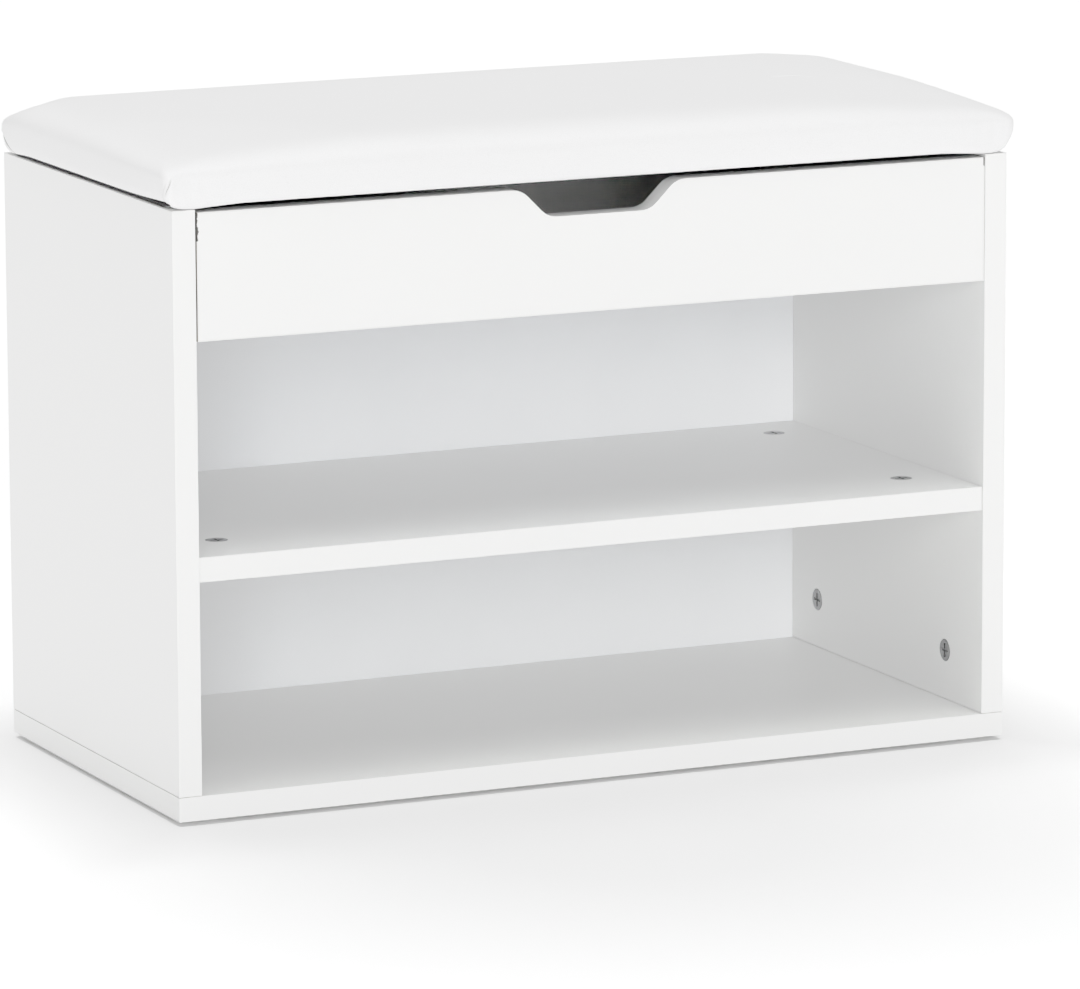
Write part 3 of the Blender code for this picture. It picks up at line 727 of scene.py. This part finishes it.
def pleat(grid, outline, insets):
    """Adds each corner's folds and the hem's rise and hang. Returns the grid and its painted crease shade,
    from 0 to 1.
    """
    height = grid[:, :, 2] - UNDERSIDE
    push = np.zeros_like(height)
    painted_crease_shade = np.zeros_like(height)
    for corner in range(4):
        away = outline.from_corner(corner)[None, :]
        near = np.abs(away) < 0.06
        if corner < 2:
            folded, crease = back_pleat(away, height)
        else:
            folded, crease = front_pleat(away, height, RIGHT_CREASE_ROUND if corner == 3 else 0.0)
        push += near * (folded + ripples(away, height))
        painted_crease_shade = np.maximum(painted_crease_shade, near * crease)
    drop = hem_drop(outline)[None, :]
    hanging = 1 - eased(insets, UNDER_TURN + 0.0005, LINING_MARGIN - 0.0005)
    rising = 1 - eased(insets, 0.010, 0.016)
    reach = np.where(drop > 0, hanging[:, None], rising[:, None])
    grid[:, :, :2] += push[:, :, None] * outline.outward()[None, :, :]
    grid[:, :, 2] -= drop * reach * (1 - eased(height, 0.0, 0.010))
    return grid, painted_crease_shade * (height > 0.0005)


def make_seat():
    outline = Outline((SEAT_HALF.x, SEAT_HALF.y), CORNER_RADII, FINE_ZONE, FINE_STEP, COARSE_STEP, ARC_STEPS)
    hem = [(HEM_REACH, UNDERSIDE + HEM_THICKNESS), (HEM_REACH, UNDERSIDE + 0.0002),
           (HEM_REACH - 0.0003, UNDERSIDE), (0.030, UNDERSIDE), (0.020, UNDERSIDE)]
    hem += [(inset, UNDERSIDE) for inset in np.arange(0.016, UNDER_TURN + 0.0004, -0.0008)]
    profile = hem + side_profile(SEAT_HIGH.z - CROWN, SIDE_STEPS, ROLL_STEPS, TOP_STEPS)
    insets = np.array([inset for inset, _ in profile])
    grid = draw_down(swell(np.array(rings_of(outline, profile))), outline, insets)
    grid, painted_crease_shade = pleat(grid, outline, insets)
    seat = mesh_object("padded_seat", list(grid))
    seat.data.shade_smooth()
    # The painted crease shade is kept on the seat as a point attribute, which the leatherette reads.
    crease = seat.data.attributes.new("painted_fold_shade", "FLOAT", "POINT")
    painted_shade_values = np.zeros(len(seat.data.vertices), np.float32)
    kept = min(painted_crease_shade.size, len(painted_shade_values))
    painted_shade_values[:kept] = painted_crease_shade.ravel()[:kept]
    crease.data.foreach_set("value", painted_shade_values)
    seat.data.materials.append(leatherette())
    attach(seat, "lid")
    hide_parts("seat_cover", "seat_foam")


def box_mesh(name, boxes):
    """One piece made of closed boxes, each given by its lowest and highest corner."""
    bm = bmesh.new()
    for low, high in boxes:
        low, high = Vector(low), Vector(high)
        place = Matrix.Translation((low + high) / 2) @ Matrix.Diagonal((*(high - low), 1))
        bmesh.ops.create_cube(bm, size=1, matrix=place)
    mesh = bpy.data.meshes.new(name)
    bm.to_mesh(mesh)
    bm.free()
    item = bpy.data.objects.new(name, mesh)
    bpy.context.scene.collection.objects.link(item)
    return item


def cut_sheet(name, half_x, half_y, low, top):
    """A flat sheet with its four corners cut off."""
    outline = []
    for x, y in Outline.CORNERS:
        near_end = (x * half_x, y * (half_y - LINING_CORNER))
        near_side = (x * (half_x - LINING_CORNER), y * half_y)
        outline += [near_end, near_side] if x == y else [near_side, near_end]
    bm = bmesh.new()
    face = bm.faces.new([bm.verts.new((*place, low)) for place in outline])
    walls = bmesh.ops.extrude_face_region(bm, geom=[face])["geom"]
    raised = [item for item in walls if isinstance(item, bmesh.types.BMVert)]
    bmesh.ops.translate(bm, vec=(0, 0, top - low), verts=raised)
    bmesh.ops.recalc_face_normals(bm, faces=bm.faces)
    mesh = bpy.data.meshes.new(name)
    bm.to_mesh(mesh)
    bm.free()
    item = bpy.data.objects.new(name, mesh)
    bpy.context.scene.collection.objects.link(item)
    return item


def make_lining():
    """The black cloth stretched over the lid's underside, over the hem, and the staples that hold it."""
    # The black cloth is the lid's lining, and its margin puts its black edge in the gap under the seat's edge:
    # a dark sheet standing in for the shade there.
    half_x, half_y = SEAT_HALF.x - LINING_MARGIN, SEAT_HALF.y - LINING_MARGIN
    top = UNDERSIDE
    low = top - LINING_THICKNESS
    lining = cut_sheet("underside_lining", half_x, half_y, low, top)
    lining.data.materials.append(nonwoven())
    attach(lining, "lid")
    make_staples(half_x - STAPLE_INSET, half_y - STAPLE_INSET, low)


def make_staples(row_x, row_y, top):
    """The staples along the lining's four edges, clear of the hinge leaves."""
    staples = []
    long, wide = STAPLE_LENGTH / 2, STAPLE_WIDTH / 2
    leaves = [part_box("hinge_lid_leaf_" + side) for side in ("left", "right")]
    for side in (-1, 1):
        for x in np.arange(-row_x + 0.02, row_x - 0.01, STAPLE_PITCH):
            start, end = x - STAPLE_CLEARANCE, x + STAPLE_CLEARANCE
            clear = all(end < leaf[0].x or start > leaf[1].x for leaf in leaves)
            if side < 0 or clear:
                staples.append(((x - long, side * row_y - wide), (x + long, side * row_y + wide)))
        for y in np.arange(-row_y + 0.035, row_y - 0.01, STAPLE_PITCH):
            staples.append(((side * row_x - wide, y - long), (side * row_x + wide, y + long)))
    boxes = [((*first, top - STAPLE_HEIGHT), (*last, top)) for first, last in staples]
    wires = box_mesh("lining_staples", boxes)
    wires.data.materials.append(metal("staple_wire", (0.15, 0.15, 0.148), 0.3, 0.45, 0.0012, 0.00001))
    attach(wires, "lid")


# ---- Stage -------------------------------------------------------------------------------------

def make_stage():
    """A white floor with painted light: it glows more the further it is from a painted shadow's middle in
    front of the bench, and not right beside the bench, so that it runs out to pure white.
    """
    mesh = bpy.data.meshes.new("floor")
    half = FLOOR_HALF
    corners = [(-half, -half, 0), (half, -half, 0), (half, half, 0), (-half, half, 0)]
    mesh.from_pydata(corners, [], [(0, 1, 2, 3)])
    floor = bpy.data.objects.new("floor", mesh)
    bpy.context.scene.collection.objects.link(floor)
    pale = Finish("studio_floor", (0.93, 0.93, 0.93), 0.6)
    pale.shader.inputs["Emission Color"].default_value = (1, 1, 1, 1)
    shadow_centre = (SHADOW_MIDDLE_X, CAD_BOUNDS[0].y * 2, 0)
    away = pale.node("ShaderNodeVectorMath", {0: pale.place, 1: shadow_centre}, operation="DISTANCE")
    x, y, _ = pale.node("ShaderNodeSeparateXYZ", {0: pale.place}).outputs
    beside = pale.math("MAXIMUM", pale.math("SUBTRACT", pale.math("ABSOLUTE", x), CAD_BOUNDS[1].x), 0.0)
    before = pale.math("MAXIMUM", pale.math("SUBTRACT", pale.math("ABSOLUTE", y), CAD_BOUNDS[1].y), 0.0)
    clear = pale.spread(pale.math("MAXIMUM", beside, before), 0.0, FLOOR_GLOW_CLEARANCE)
    # Painted light: the glow grows away from the painted shadow's middle, and is held off near the bench.
    glow = pale.math("MULTIPLY", clear, pale.spread(away.outputs["Value"], *FLOOR_GLOW_REACH, *FLOOR_GLOW))
    pale.feed(pale.shader.inputs["Emission Strength"], glow)
    mesh.materials.append(pale.material)


def softbox(name, toward, spread, strength):
    """A large, far softbox: its light comes from the direction toward, over an angle of spread degrees."""
    light = bpy.data.lights.new(name, "SUN")
    light.energy = strength
    light.angle = math.radians(spread)
    lamp = bpy.data.objects.new(name, light)
    bpy.context.scene.collection.objects.link(lamp)
    lamp.location = Vector(toward).normalized() * 4
    lamp.rotation_mode = "QUATERNION"
    lamp.rotation_quaternion = Vector(toward).to_track_quat("Z", "Y")


def make_lights():
    softbox("front_softbox", (-0.33, -1.0, 0.17), 30, 1.46)
    softbox("overhead_softbox", (0.0, -0.15, 1.0), 60, 1.6)
    softbox("back_softbox", (0.1, 0.7, 1.0), 60, 0.9)
    softbox("left_softbox", (-0.8, -0.45, 0.5), 50, 0.05)
    world = bpy.data.worlds.new("studio")
    bpy.context.scene.world = world
    world.use_nodes = True
    sky = world.node_tree.nodes["Background"]
    sky.inputs["Color"].default_value = (1, 1, 1, 1)
    sky.inputs["Strength"].default_value = SKY_STRENGTH


def make_camera():
    data = bpy.data.cameras.new("camera")
    data.lens = CAMERA_LENS
    data.sensor_width = 36
    data.clip_end = 100
    camera = bpy.data.objects.new("camera", data)
    bpy.context.scene.collection.objects.link(camera)
    across, along = math.sin(CAMERA_AZIMUTH), math.cos(CAMERA_AZIMUTH)
    level = math.cos(CAMERA_ELEVATION)
    forward = Vector((across * level, along * level, -math.sin(CAMERA_ELEVATION)))
    camera.location = CAMERA_TARGET - forward * CAMERA_DISTANCE
    camera.rotation_mode = "QUATERNION"
    upright = forward.to_track_quat("-Z", "Y")
    camera.rotation_quaternion = upright @ Matrix.Rotation(CAMERA_ROLL, 3, "Z").to_quaternion()
    bpy.context.scene.camera = camera


def set_tone():
    """A bright product print: lifted light tones, and dark tones left dark."""
    view = bpy.context.scene.view_settings
    view.view_transform = "Standard"
    view.use_curve_mapping = True
    curve = view.curve_mapping.curves[3]
    for place, (x, y) in enumerate(TONE_CURVE):
        if 0 < place < len(TONE_CURVE) - 1:
            curve.points.new(x, y)
    view.curve_mapping.update()


def write_size():
    bpy.context.view_layer.update()


make_camera()
make_stage()
make_lights()
set_tone()
dress_carcass()
dress_hardware()
make_seat()
make_lining()
write_size()
